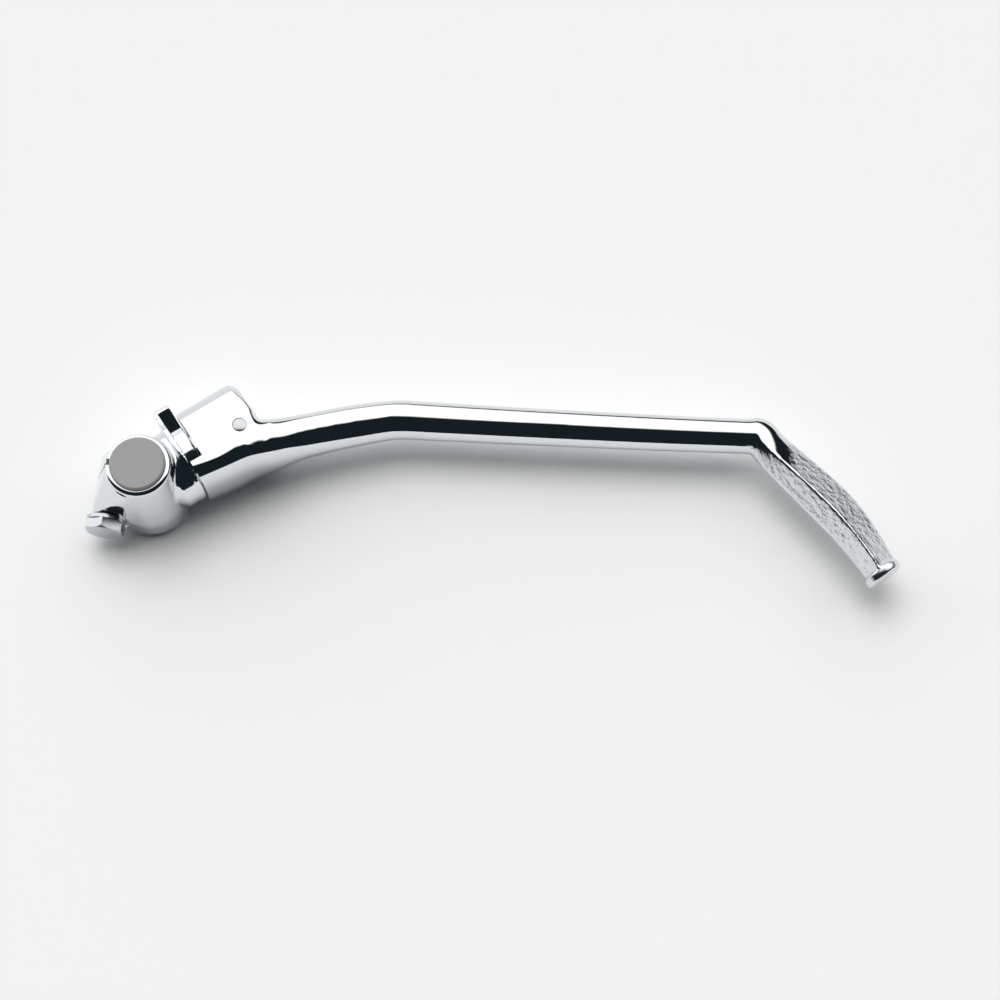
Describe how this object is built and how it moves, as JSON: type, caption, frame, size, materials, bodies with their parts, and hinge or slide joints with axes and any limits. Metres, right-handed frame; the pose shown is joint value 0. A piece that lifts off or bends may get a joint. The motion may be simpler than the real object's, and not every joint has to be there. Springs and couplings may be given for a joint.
{
  "type": "kick start lever",
  "caption": "Folding kick start lever: a splined pinch-clamp knuckle with a capped bore, and a bent bar arm with a foot pedal that swivels on its post.",
  "frame": {"origin": "on the axis of the knuckle's splined bore, at the knuckle's inboard face", "axes": "+Z along the kick shaft, outboard; +X along the folded lever, towards the pedal"},
  "size_m": [0.2713, 0.0713, 0.034],
  "materials": {
    "chrome_steel": "polished",
    "zinc_steel": "bright zinc plate",
    "spring_steel": "oiled",
    "grey_plastic": "matte"
  },
  "bodies": {
    "knuckle_group": {"knuckle": "chrome_steel", "bore_cap": "grey_plastic", "pinch_bolt": "zinc_steel", "spring_washer": "zinc_steel", "thrust_washer": "zinc_steel", "circlip": "spring_steel"},
    "lever_group": {"lever": "chrome_steel", "detent_ball": "zinc_steel", "detent_spring": "spring_steel", "detent_plug": "zinc_steel"}
  },
  "joints": [
    {"name": "lever_swing", "type": "hinge", "parent": "knuckle_group", "child": "lever_group", "pos_m": [0, 0, 0.0144], "axis": [-0.8387, -0.5446, 0], "range_deg": [0, 90]}
  ]
}
